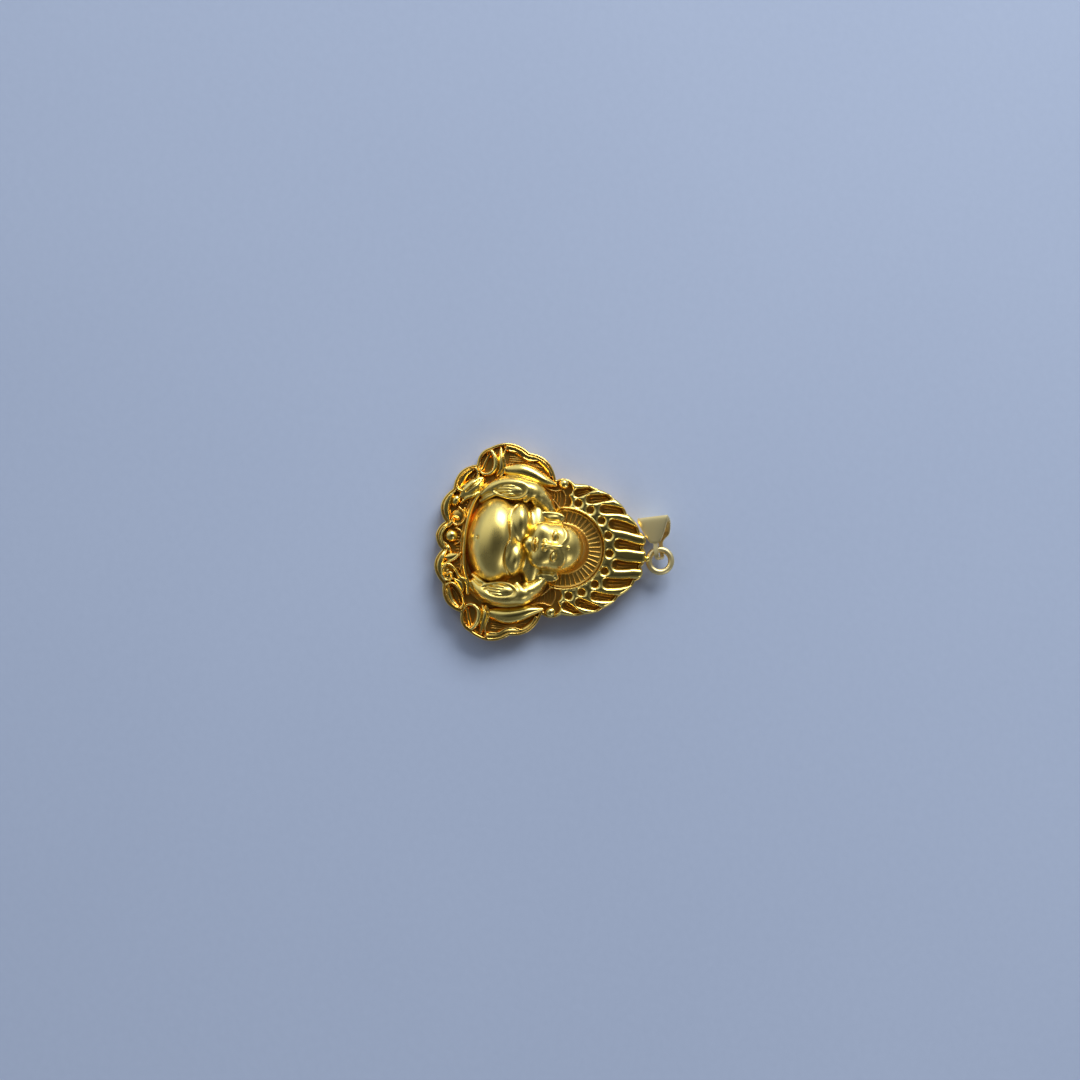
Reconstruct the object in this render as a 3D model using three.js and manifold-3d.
// A hollow gold pendant, lying face up: a seated figure in high relief in front of a rayed halo
// and a flame crest, over a scrolled lotus border, hung from a round ring and a folded bail.
// Millimetres. +Z is out of the face, +Y is towards the bail, and Z = 0 is the flat back.
import * as THREE from "three";
import { mergeVertices } from "three/addons/utils/BufferGeometryUtils.js";
import Module from "manifold-3d";

const wasm = await Module();
wasm.setup();

// ---- Driving dimensions -------------------------------------------------------------------

const BODY_WIDTH = 28.9; // across the widest scallops
const BODY_HEIGHT = 30.45; // from the lowest petal to the crest's top edge
const SOLDER_GAP = 0.05; // between pieces that are soldered together

const BACK_THICKNESS = 0.6;
const VENT_RADIUS = 0.6;
const WALL_HEIGHT = 2.1;
const WALL_THICKNESS = 0.45;
const FIELD_THICKNESS = 0.5;
const FIELD_DEPTH = 0.65; // how far the field lies below the wall's top edge
const CREST_THICKNESS = 0.8;
const CREST_MARGIN = 0.12; // how far the crest stays inside the outline
const SHELL_WALL = 0.55; // sheet thickness of the hollow torso and head

const HALO_RADIUS = 5.7;
const HALO_THICKNESS = 0.35;
const RAY_COUNT = 25;
const RAY_WIDTH = 0.14;
const RAY_HEIGHT = 0.14;
const BEAD_HOLE_RADIUS = 0.5;

const RING_WIRE_RADIUS = 0.45;
const RING_MEAN_RADIUS = 1.65;
const SADDLE_WIDTH = 1.0; // the solder saddle that the ring sits in
const SADDLE_HEIGHT = 1.1;
const RUNNING_GAP = 0.2; // loose fit of the bail on the ring

const BAIL_LENGTH = 6.2; // from the ring's centre to the fold
const BAIL_SHEET = 0.3;
const BAIL_STRAP_WIDTH = 0.6;
const BAIL_NECK_WIDTH = 1.8;
const BAIL_TOP_WIDTH = 4.6;
const BAIL_ROLL_DEG = 28; // the bail lies rolled over on its long axis
const BAIL_CLEAR_DEG = 29.63; // between the bail's long axis and the line from ring to shoulder

// ---- Levels that follow from the dimensions ------------------------------------------------

const WALL_BASE = BACK_THICKNESS + SOLDER_GAP;
const WALL_TOP = WALL_BASE + WALL_HEIGHT;
const FIELD_TOP = WALL_TOP - FIELD_DEPTH;
const RELIEF_BASE = FIELD_TOP + SOLDER_GAP;
const CREST_BASE = WALL_TOP + SOLDER_GAP;
const RING_LEVEL = WALL_TOP - RING_WIRE_RADIUS;

// The artwork is drawn on a blank of this size and stretched to the body's own size.
const BLANK = { width: 28.9, height: 30.45 };
const stretchX = BODY_WIDTH / BLANK.width;
const stretchY = BODY_HEIGHT / BLANK.height;
const at = ([x, y]) => new THREE.Vector2(x * stretchX, y * stretchY);
const mirrored = ([x, y]) => [-x, y];

// ---- Solids --------------------------------------------------------------------------------

// A closed three.js geometry as a solid, whichever way round its faces were listed.
function solid(geometry) {
  const bare = geometry.index ? geometry.toNonIndexed() : geometry.clone();
  bare.deleteAttribute("normal");
  bare.deleteAttribute("uv");
  const merged = mergeVertices(bare, 1e-4);
  const triVerts = new Uint32Array(merged.index.array);
  const vertProperties = merged.attributes.position.array;
  const made = () => new wasm.Manifold(new wasm.Mesh({ numProp: 3, vertProperties, triVerts }));
  const first = made();
  if (first.volume() > 0) return first;
  for (let i = 0; i < triVerts.length; i += 3) {
    [triVerts[i + 1], triVerts[i + 2]] = [triVerts[i + 2], triVerts[i + 1]];
  }
  return made();
}

function geometryOf(manifold) {
  const mesh = manifold.getMesh();
  const corners = new Float32Array(mesh.numVert * 3);
  for (let i = 0; i < mesh.numVert; i++) {
    corners.set(mesh.vertProperties.subarray(i * mesh.numProp, i * mesh.numProp + 3), i * 3);
  }
  const geometry = new THREE.BufferGeometry();
  geometry.setAttribute("position", new THREE.BufferAttribute(corners, 3));
  geometry.setIndex(new THREE.BufferAttribute(mesh.triVerts, 1));
  return geometry;
}

const largest = (manifold) =>
  manifold.decompose().reduce((best, each) => (each.volume() > best.volume() ? each : best));

const union = (solids) => solids.reduce((all, each) => all.add(each));

// An upright prism on a closed outline of points.
function plate(outline, low, high) {
  const geometry = new THREE.ExtrudeGeometry(new THREE.Shape(outline), {
    depth: high - low,
    bevelEnabled: false,
  });
  return solid(geometry.translate(0, 0, low));
}

function cylinder(centre, radius, low, high, sides = 20) {
  const geometry = new THREE.CylinderGeometry(radius, radius, high - low, sides);
  geometry.rotateX(Math.PI / 2).translate(centre.x, centre.y, (low + high) / 2);
  return solid(geometry);
}

// An ellipsoid. Its radii grow by grow, and it is drawn on the blank.
function ball({ place, level, radii, turn = 0 }, grow) {
  const centre = at(place);
  const geometry = new THREE.SphereGeometry(1, 14, 8);
  geometry.rotateX(Math.PI / 2);
  geometry.scale(radii[0] * stretchX + grow, radii[1] * stretchY + grow, radii[2] + grow);
  geometry.rotateZ(THREE.MathUtils.degToRad(turn)).translate(centre.x, centre.y, level);
  return solid(geometry);
}

// Everything below a level, to cut a relief off flat.
function below(level) {
  const reach = BODY_WIDTH + BODY_HEIGHT;
  return solid(new THREE.BoxGeometry(2 * reach, 2 * reach, reach).translate(0, 0, level - reach / 2));
}

const SECTION_STEPS = 5;

// A raised bar with a rounded top and a flat base. It follows points on the blank, and its
// width and height run smoothly through one value for each point.
function ridge({ points, widths, heights, base, closed = false, steps = 3 }, grow) {
  const route = new THREE.CatmullRomCurve3(
    points.map(at).map((p) => new THREE.Vector3(p.x, p.y, 0)),
    closed,
    "centripetal",
  );
  const spans = closed ? points.length : points.length - 1;
  const stations = spans * steps + (closed ? 0 : 1);
  const blend = (values, t) => {
    const place = t * spans;
    const i = Math.min(Math.floor(place), spans - 1);
    const next = closed ? (i + 1) % points.length : i + 1;
    return THREE.MathUtils.lerp(values[i], values[next], place - i);
  };
  const corners = [];
  for (let s = 0; s < stations; s++) {
    const t = s / (spans * steps);
    const centre = route.getPoint(t);
    const along = route.getTangent(t);
    const left = new THREE.Vector3(-along.y, along.x, 0).normalize();
    const half = blend(widths, t) / 2 + grow;
    const height = blend(heights, t) + grow;
    for (let k = 0; k <= SECTION_STEPS; k++) {
      const angle = (Math.PI * k) / SECTION_STEPS;
      const corner = centre.clone().addScaledVector(left, half * Math.cos(angle));
      corners.push(corner.x, corner.y, base - grow + (height + grow) * Math.sin(angle));
    }
  }
  return solid(tubeOf(corners, stations, SECTION_STEPS + 1, closed));
}

// The skin over rings of corners, one ring for each station, closed on itself or capped.
function tubeOf(corners, stations, around, closed) {
  const index = [];
  for (let s = 0; s < (closed ? stations : stations - 1); s++) {
    const here = s * around;
    const next = ((s + 1) % stations) * around;
    for (let k = 0; k < around; k++) {
      const turn = (k + 1) % around;
      index.push(here + k, next + k, next + turn, here + k, next + turn, here + turn);
    }
  }
  if (!closed) {
    const last = (stations - 1) * around;
    for (let k = 1; k < around - 1; k++) {
      index.push(0, k, k + 1, last, last + k + 1, last + k);
    }
  }
  const geometry = new THREE.BufferGeometry();
  geometry.setAttribute("position", new THREE.Float32BufferAttribute(corners, 3));
  geometry.setIndex(index);
  return geometry;
}

// ---- The outline ---------------------------------------------------------------------------

// Right half of the outline, top to bottom: a start, then the middle and the end of each scallop.
const TOP_POINT = [0, 15.45];
const SCALLOPS = [
  [[0.8, 15.3], [1.4, 14.85]],
  [[2.65, 15.2], [3.6, 14.2]],
  [[4.95, 13.45], [6.1, 12.0]],
  [[7.2, 11.25], [8.15, 9.8]],
  [[8.8, 8.8], [9.3, 7.0]],
  [[9.65, 5.6], [9.6, 4.0]],
  [[10.2, 2.5], [9.8, 1.2]],
  [[12.45, -0.35], [13.35, -3.1]],
  [[14.45, -6.0], [13.45, -9.0]],
  [[12.4, -10.2], [10.8, -10.5]],
  [[9.5, -12.8], [6.95, -13.55]],
  [[4.5, -15.05], [2.05, -14.2]],
  [[1.2, -14.95], [0, -15.35]],
];
const SCALLOP_STEPS = 4;

// The curve from start to end whose middle is at the given point.
function bulge(start, middle, end) {
  const control = middle.clone().multiplyScalar(2).sub(start.clone().add(end).multiplyScalar(0.5));
  return new THREE.QuadraticBezierCurve(start, control, end);
}

function bodyOutline() {
  const right = [at(TOP_POINT)];
  for (const [middle, end] of SCALLOPS) {
    const curve = bulge(right[right.length - 1], at(middle), at(end));
    right.push(...curve.getPoints(SCALLOP_STEPS).slice(1));
  }
  const left = right.slice(1, -1).map((p) => new THREE.Vector2(-p.x, p.y));
  return [...right, ...left.reverse()];
}

function distanceToOutline(point, outline) {
  return outline.reduce((least, from, i) => {
    const edge = new THREE.Line3(
      new THREE.Vector3(from.x, from.y, 0),
      new THREE.Vector3(outline[(i + 1) % outline.length].x, outline[(i + 1) % outline.length].y, 0),
    );
    const probe = new THREE.Vector3(point.x, point.y, 0);
    return Math.min(least, edge.closestPointToPoint(probe, true, new THREE.Vector3()).distanceTo(probe));
  }, Infinity);
}

// The outline moved inwards by a distance. Points that would cross it at a tight curve are dropped.
function inset(outline, distance) {
  const clockwise = THREE.ShapeUtils.area(outline) < 0 ? 1 : -1;
  const moved = outline.map((here, i) => {
    const before = outline[(i + outline.length - 1) % outline.length];
    const after = outline[(i + 1) % outline.length];
    const first = here.clone().sub(before).normalize();
    const second = after.clone().sub(here).normalize();
    const normal = new THREE.Vector2(first.y + second.y, -first.x - second.x).normalize();
    const spread = Math.max(0.5, normal.dot(new THREE.Vector2(first.y, -first.x)));
    return here.clone().addScaledVector(normal, (clockwise * distance) / spread);
  });
  return moved.filter((point) => distanceToOutline(point, outline) > 0.97 * distance);
}

const outline = bodyOutline();

// ---- Placing pieces so that none overlaps ---------------------------------------------------

const pendant = new THREE.Group();
const placed = [];

const GOLD = { color: 0xd9a93a, metalness: 1 };
const materials = {
  polished: new THREE.MeshStandardMaterial({ ...GOLD, roughness: 0.22 }),
  satin: new THREE.MeshStandardMaterial({ ...GOLD, roughness: 0.38 }),
  recess: new THREE.MeshStandardMaterial({ ...GOLD, color: 0x8a5a24, roughness: 0.5 }),
  bail: new THREE.MeshStandardMaterial({ ...GOLD, color: 0xc9a968, roughness: 0.42 }),
};

function addMesh(group, name, material, manifold) {
  const mesh = new THREE.Mesh(geometryOf(manifold), material);
  mesh.name = name;
  group.add(mesh);
  return mesh;
}

// Adds a piece, cut back by a solder gap from every piece before it. make(grow) gives its filled
// shape, grown all over, and hollow is what is taken out of it last.
function place(name, material, make, hollow = null) {
  let made = make(0);
  for (const other of placed) {
    const grown = other(SOLDER_GAP);
    if (!made.intersect(grown).isEmpty()) made = made.subtract(grown);
  }
  if (hollow) made = made.subtract(hollow);
  addMesh(pendant, name, material, largest(made));
  placed.push(make);
}

// ---- Ring, casing and field --------------------------------------------------------------------

const RING_X = 0.2; // the ring is soldered on a little off the middle
const ringCentre = at([RING_X, TOP_POINT[1]]);
ringCentre.y += RING_MEAN_RADIUS + RING_WIRE_RADIUS + SOLDER_GAP;
const ring = (grow) =>
  solid(
    new THREE.TorusGeometry(RING_MEAN_RADIUS, RING_WIRE_RADIUS + grow, 8, 24).translate(
      ringCentre.x,
      ringCentre.y,
      RING_LEVEL,
    ),
  );

const VENT_PLACE = [0, -3.2];

place("top_ring", materials.bail, ring);
place(
  "back_plate",
  materials.satin,
  (grow) => plate(outline, 0, BACK_THICKNESS + grow),
  cylinder(at(VENT_PLACE), VENT_RADIUS, -BACK_THICKNESS, 2 * BACK_THICKNESS),
);

const innerOutline = inset(outline, WALL_THICKNESS);
const sideWall = (grow) => {
  const hole = grow ? inset(outline, WALL_THICKNESS + grow) : innerOutline;
  return plate(outline, WALL_BASE, WALL_TOP + grow).subtract(plate(hole, 0, 2 * WALL_TOP));
};
place("side_wall", materials.polished, sideWall);
place("field_plate", materials.recess, (grow) =>
  plate(inset(outline, WALL_THICKNESS + SOLDER_GAP), FIELD_TOP - FIELD_THICKNESS, FIELD_TOP + grow),
);

// ---- Halo and crest -----------------------------------------------------------------------------

const HALO_CENTRE = [0, 3.35];
const haloCentre = at(HALO_CENTRE);

// The halo disc, cut off straight behind the shoulders.
const HALO_CUT = -0.6;
function haloDisc(grow) {
  const top = RELIEF_BASE + HALO_THICKNESS + grow;
  const disc = cylinder(haloCentre, HALO_RADIUS + grow, RELIEF_BASE - grow, top, 32);
  const reach = 4 * HALO_RADIUS;
  const low = new THREE.BoxGeometry(reach, reach, reach).translate(0, HALO_CUT - grow - reach / 2, 0);
  return disc.subtract(solid(low));
}

const RAY_FROM = 3.7;
const RAY_TO = 5.35;
const RAY_SPREAD_DEG = 196;
function rays() {
  const made = [];
  for (let i = 0; i < RAY_COUNT; i++) {
    const turn = THREE.MathUtils.degToRad(90 + RAY_SPREAD_DEG * (i / (RAY_COUNT - 1) - 0.5));
    const ray = new THREE.BoxGeometry(RAY_TO - RAY_FROM, RAY_WIDTH, 2 * RAY_HEIGHT);
    ray.translate((RAY_TO + RAY_FROM) / 2, 0, 0).rotateZ(turn);
    made.push(solid(ray.translate(haloCentre.x, haloCentre.y, RELIEF_BASE + HALO_THICKNESS)));
  }
  return union(made);
}
place("halo_plate", materials.recess, (grow) =>
  grow ? haloDisc(grow + RAY_HEIGHT) : haloDisc(0).add(rays()),
);

// Troughs between the flames, right-hand side: round end, open end, and half width at each.
const TROUGHS = [
  { from: [1.35, 11.3], to: [1.25, 16.6], half: [0.78, 0.6] },
  { from: [4.2, 10.3], to: [3.75, 15.6], half: [0.82, 0.6] },
  { from: [6.2, 8.75], to: [6.05, 13.4], half: [0.72, 0.5] },
  { from: [7.5, 6.55], to: [8.0, 11.2], half: [0.72, 0.45] },
  { from: [8.15, 4.65], to: [9.1, 8.4], half: [0.65, 0.4] },
];
const BEAD_HOLES = [
  [2.6, 9.55],
  [4.62, 8.35],
  [5.97, 6.6],
  [6.75, 4.7],
];
const TOP_BEAD_HOLE = [0, 10];

function trough({ from, to, half }) {
  const start = at(from);
  const end = at(to);
  const heading = Math.atan2(end.y - start.y, end.x - start.x);
  const side = new THREE.Vector2(-Math.sin(heading), Math.cos(heading));
  const shape = new THREE.Shape();
  shape.absarc(start.x, start.y, half[0], heading + Math.PI / 2, heading + (3 * Math.PI) / 2, false);
  shape.lineTo(end.x - side.x * half[1], end.y - side.y * half[1]);
  shape.lineTo(end.x + side.x * half[1], end.y + side.y * half[1]);
  const cut = { depth: 2 * CREST_BASE, bevelEnabled: false, curveSegments: 4 };
  const geometry = new THREE.ExtrudeGeometry(shape, cut);
  return solid(geometry.translate(0, 0, CREST_BASE / 2));
}

const CREST_FOOT = 3.0; // the crest's lower edge on the blank
const CREST_INNER_GAP = 0.08;
function crest(grow) {
  const top = CREST_BASE + CREST_THICKNESS + grow;
  const blank = plate(inset(outline, CREST_MARGIN), CREST_BASE - grow, top);
  const opening = cylinder(haloCentre, HALO_RADIUS + CREST_INNER_GAP - grow, 0, 3 * CREST_BASE, 32);
  const reach = 2 * BODY_HEIGHT;
  const lower = new THREE.BoxGeometry(reach, reach, reach);
  const cutLevel = CREST_FOOT * stretchY - grow;
  return blank.subtract(opening).subtract(solid(lower.translate(0, cutLevel - reach / 2, 0)));
}
const beadHoles = [TOP_BEAD_HOLE, ...BEAD_HOLES, ...BEAD_HOLES.map(mirrored)];
const mirroredTrough = ({ from, to, half }) => ({ from: mirrored(from), to: mirrored(to), half });
const crestCuts = union([
  ...[...TROUGHS, ...TROUGHS.map(mirroredTrough)].map(trough),
  ...beadHoles.map((p) => cylinder(at(p), BEAD_HOLE_RADIUS, 0, 2 * CREST_BASE, 8)),
]);
place("flame_crest", materials.polished, crest, crestCuts);

// ---- The figure ----------------------------------------------------------------------------------

const TORSO = [
  { place: [-0.25, -6.3], level: 2.6, radii: [6.05, 4.15, 5.3] },
  { place: [-2.95, -2.9], level: 3.9, radii: [3.1, 2.0, 2.9] },
  { place: [2.6, -3.1], level: 3.9, radii: [3.0, 1.95, 2.9] },
  { place: [0, -0.9], level: 3.0, radii: [6.2, 2.0, 2.3] },
];
const HEAD = [
  { place: [0, 2.2], level: 3.9, radii: [3.75, 4.1, 3.5] },
  { place: [0, 0.5], level: 3.9, radii: [3.95, 3.3, 3.3] },
];
const EARS = [
  { place: [4.55, 0.75], level: 3.9, radii: [0.8, 2.0, 1.1], turn: 6 },
  { place: [-4.55, 0.75], level: 3.9, radii: [0.8, 2.0, 1.1], turn: -6 },
];

const reliefOf = (balls, grow, base = RELIEF_BASE) =>
  union(balls.map((each) => ball(each, grow))).subtract(below(base - grow));
const hollowOf = (balls) => union(balls.map((each) => ball(each, -SHELL_WALL)));

place("torso", materials.satin, (grow) => reliefOf(TORSO, grow), hollowOf(TORSO));
place("head", materials.satin, (grow) => reliefOf([...HEAD, ...EARS], grow), hollowOf(HEAD));

const ARMS = {
  left: {
    points: [[-6.3, 0.3], [-7.8, -2.2], [-8.6, -5.2], [-7.9, -8.0], [-6.9, -9.5]],
    hand: { place: [-7.75, -5.1], level: 5.1, radii: [0.95, 2.1, 1.1], turn: -4 },
  },
  right: {
    points: [[6.0, 0.0], [7.2, -2.4], [7.9, -5.1], [7.3, -7.7], [5.7, -9.2]],
    hand: { place: [7.0, -5.5], level: 5.1, radii: [0.95, 2.3, 1.1], turn: -8 },
  },
};
const ARM_WIDTHS = [2.4, 3.1, 2.7, 2.2, 1.2];
const ARM_HEIGHTS = [2.9, 3.6, 3.4, 2.6, 1.3];
for (const [side, { points, hand }] of Object.entries(ARMS)) {
  const sleeve = { points, widths: ARM_WIDTHS, heights: ARM_HEIGHTS, base: RELIEF_BASE };
  place(`${side}_arm`, materials.satin, (grow) => ridge(sleeve, grow).add(ball(hand, grow)));
}

const HEM = {
  points: [[-8.6, -8.3], [-5.6, -10.1], [0, -10.95], [5.2, -10.0], [8.7, -7.3]],
  widths: [0.8, 1.1, 1.2, 1.1, 0.8],
  heights: [1.0, 1.1, 1.1, 1.1, 1.0],
  base: RELIEF_BASE,
};
place("robe_hem", materials.satin, (grow) => ridge(HEM, grow));

// ---- The border ------------------------------------------------------------------------------------

// Pieces of the border are listed by name. Each is a ridge, one for each side where it repeats.
const mirroredRidge = (each) => ({ ...each, points: each.points.map(mirrored) });
const same = (value, points) => points.map(() => value);
const strand = (points, widths, height, extra = {}) => ({
  points,
  widths: Array.isArray(widths) ? widths : same(widths, points),
  heights: same(height, points),
  base: RELIEF_BASE,
  ...extra,
});

const RIBBON = [[9.35, 1.1], [10.4, -0.8], [10.75, -3.3], [10.3, -6.0]];
const STRAP = [[13.55, -7.25], [11.7, -7.0], [9.7, -7.35]];
const LOOP = [[12.8, -9.1], [11.2, -8.2], [9.65, -9.1], [11.2, -10.0]];
const SIDE_PETAL = [
  [10.3, -10.9],
  [9.75, -12.0],
  [8.5, -12.95],
  [7.25, -12.85],
  [7.7, -11.7],
  [9.1, -10.7],
];
const LOW_PETAL = [[6.5, -13.85], [4.5, -14.6], [2.4, -14.1]];
const CURL = [[8.3, -9.8], [6.6, -10.9], [5.45, -11.8], [4.75, -12.9], [5.6, -13.2], [5.75, -12.4]];

const BORDER = {
  ribbon: strand(RIBBON, [0.9, 1.9, 2.1, 1.3], 1.7),
  strap: strand(STRAP, [0.7, 1.2, 0.8], 1.5),
  loop: strand(LOOP, 0.55, 1.35, { closed: true, steps: 4 }),
  side_petal: strand(SIDE_PETAL, 0.5, 1.2, { closed: true }),
  low_petal: strand(LOW_PETAL, [0.5, 0.9, 0.5], 1.1),
  curl: strand(CURL, [0.5, 0.8, 0.8, 0.7, 0.6, 0.5], 1.4),
};
for (const [name, each] of Object.entries(BORDER)) {
  const parts = { right: each, left: mirroredRidge(each) };
  for (const [side, part] of Object.entries(parts)) {
    place(`${side}_${name}`, materials.polished, (grow) => ridge(part, grow));
  }
}

const CENTRE_PETAL = strand([[-1.75, -13.75], [-1.0, -14.5], [0, -14.85], [1.0, -14.5], [1.75, -13.75]],
  [0.4, 0.6, 0.7, 0.6, 0.4], 1.1);
place("centre_petal", materials.polished, (grow) => ridge(CENTRE_PETAL, grow));

const PEARL = { place: [-0.1, -13.05], level: RELIEF_BASE + 0.35, radii: [0.95, 0.95, 1.05] };
place("pearl", materials.polished, (grow) => reliefOf([PEARL], grow));

const BUD = { place: [9.35, 2.3], level: CREST_BASE + 0.1, radii: [0.72, 0.72, 0.8] };
place("right_bud", materials.polished, (grow) => reliefOf([BUD], grow, CREST_BASE));
place("left_bud", materials.polished, (grow) =>
  reliefOf([{ ...BUD, place: mirrored(BUD.place) }], grow, CREST_BASE));

// ---- Solder saddle and bail -------------------------------------------------------------------------

// The saddle runs from the crest's tip to the ring and is hollowed to fit the ring's wire.
function saddle(grow) {
  const length = RING_WIRE_RADIUS + WALL_THICKNESS + 2 * SOLDER_GAP;
  const width = SADDLE_WIDTH + 2 * grow;
  const block = new THREE.BoxGeometry(width, length + 2 * grow, SADDLE_HEIGHT + 2 * grow);
  const reach = at(TOP_POINT).y - WALL_THICKNESS + length / 2;
  const level = CREST_BASE + CREST_THICKNESS - SADDLE_HEIGHT / 2;
  return solid(block.translate(ringCentre.x, reach, level));
}
place("ring_saddle", materials.polished, saddle);

// The bail is one closed strip. Its side view is a loop: a strap round the ring's wire, a flat
// front leaf out to the fold, and a bowed back leaf home again. u runs out from the ring's centre
// and w up out of the face, and the strip's width lies across both.
const NECK = RING_MEAN_RADIUS + RING_WIRE_RADIUS + RUNNING_GAP + BAIL_SHEET / 2;
const STRAP_END = 0.3; // the strap's inner end, from the ring's centre
const roll = THREE.MathUtils.degToRad(BAIL_ROLL_DEG);
// Swung up, the rolled strap leans one corner along the wire, which curves towards it there.
const looseRise =
  RING_WIRE_RADIUS / Math.cos(roll) + (BAIL_STRAP_WIDTH / 2) * Math.tan(roll) + RUNNING_GAP;
const cornerReach = (BAIL_STRAP_WIDTH / 2) * Math.cos(roll) + looseRise * Math.sin(roll);
const wireSag = RING_MEAN_RADIUS - Math.sqrt(RING_MEAN_RADIUS ** 2 - cornerReach ** 2);
const strapRise = looseRise + wireSag / Math.cos(roll) + BAIL_SHEET / 2;
const BOW = 1.2; // how far the back leaf bows out

// The bail has slid round the ring to the left-hand side, where it stays clear of the shoulder,
// the end of the crest's third scallop.
const shoulder = at(mirrored(SCALLOPS[2][1])).sub(ringCentre);
const heading = shoulder.angle() - THREE.MathUtils.degToRad(BAIL_CLEAR_DEG);

const BAIL_LOOP = [
  [STRAP_END, 0, 0],
  [STRAP_END + 0.35, strapRise, 0],
  [NECK + 0.05, strapRise, 0],
  [NECK + 0.55, strapRise + 0.02, 1],
  [BAIL_LENGTH - 0.25, strapRise + 0.12, 2],
  [BAIL_LENGTH, strapRise - 0.2, 2],
  [BAIL_LENGTH - 0.7, -0.35, 1.85],
  [BAIL_LENGTH - 2.0, -BOW, 1.5],
  [NECK + 1.0, -BOW, 1.15],
  [NECK + 0.1, -strapRise, 0],
  [STRAP_END + 0.35, -strapRise, 0],
];
const BAIL_STATIONS = 36;

function bailWidth(share) {
  const widths = [BAIL_STRAP_WIDTH, BAIL_NECK_WIDTH, BAIL_TOP_WIDTH];
  const i = Math.min(Math.floor(share), 1);
  return THREE.MathUtils.lerp(widths[i], widths[i + 1], share - i);
}

function bail() {
  const route = new THREE.CatmullRomCurve3(
    BAIL_LOOP.map(([u, w, share]) => new THREE.Vector3(u, w, share)),
    true,
    "centripetal",
  );
  const corners = [];
  for (let s = 0; s < BAIL_STATIONS; s++) {
    const { x: u, y: w, z: share } = route.getPoint(s / BAIL_STATIONS);
    const along = route.getTangent(s / BAIL_STATIONS).setZ(0).normalize();
    const half = bailWidth(THREE.MathUtils.clamp(share, 0, 2)) / 2;
    const out = BAIL_SHEET / 2;
    for (const [side, skin] of [[1, 1], [1, -1], [-1, -1], [-1, 1]]) {
      corners.push(u - along.y * out * skin, half * side, w + along.x * out * skin);
    }
  }
  return solid(tubeOf(corners, BAIL_STATIONS, 4, true));
}

const bailMesh = addMesh(pendant, "bail", materials.bail, bail());
bailMesh.rotation.order = "ZYX";
bailMesh.rotation.set(-roll, 0, heading);
bailMesh.position.set(ringCentre.x, ringCentre.y, RING_LEVEL);

// The frame's origin is under the middle of the whole object.
const extent = new THREE.Box3().setFromObject(pendant, true);
const middle = extent.getCenter(new THREE.Vector3());
pendant.position.set(-middle.x, -middle.y, 0);

export default pendant;
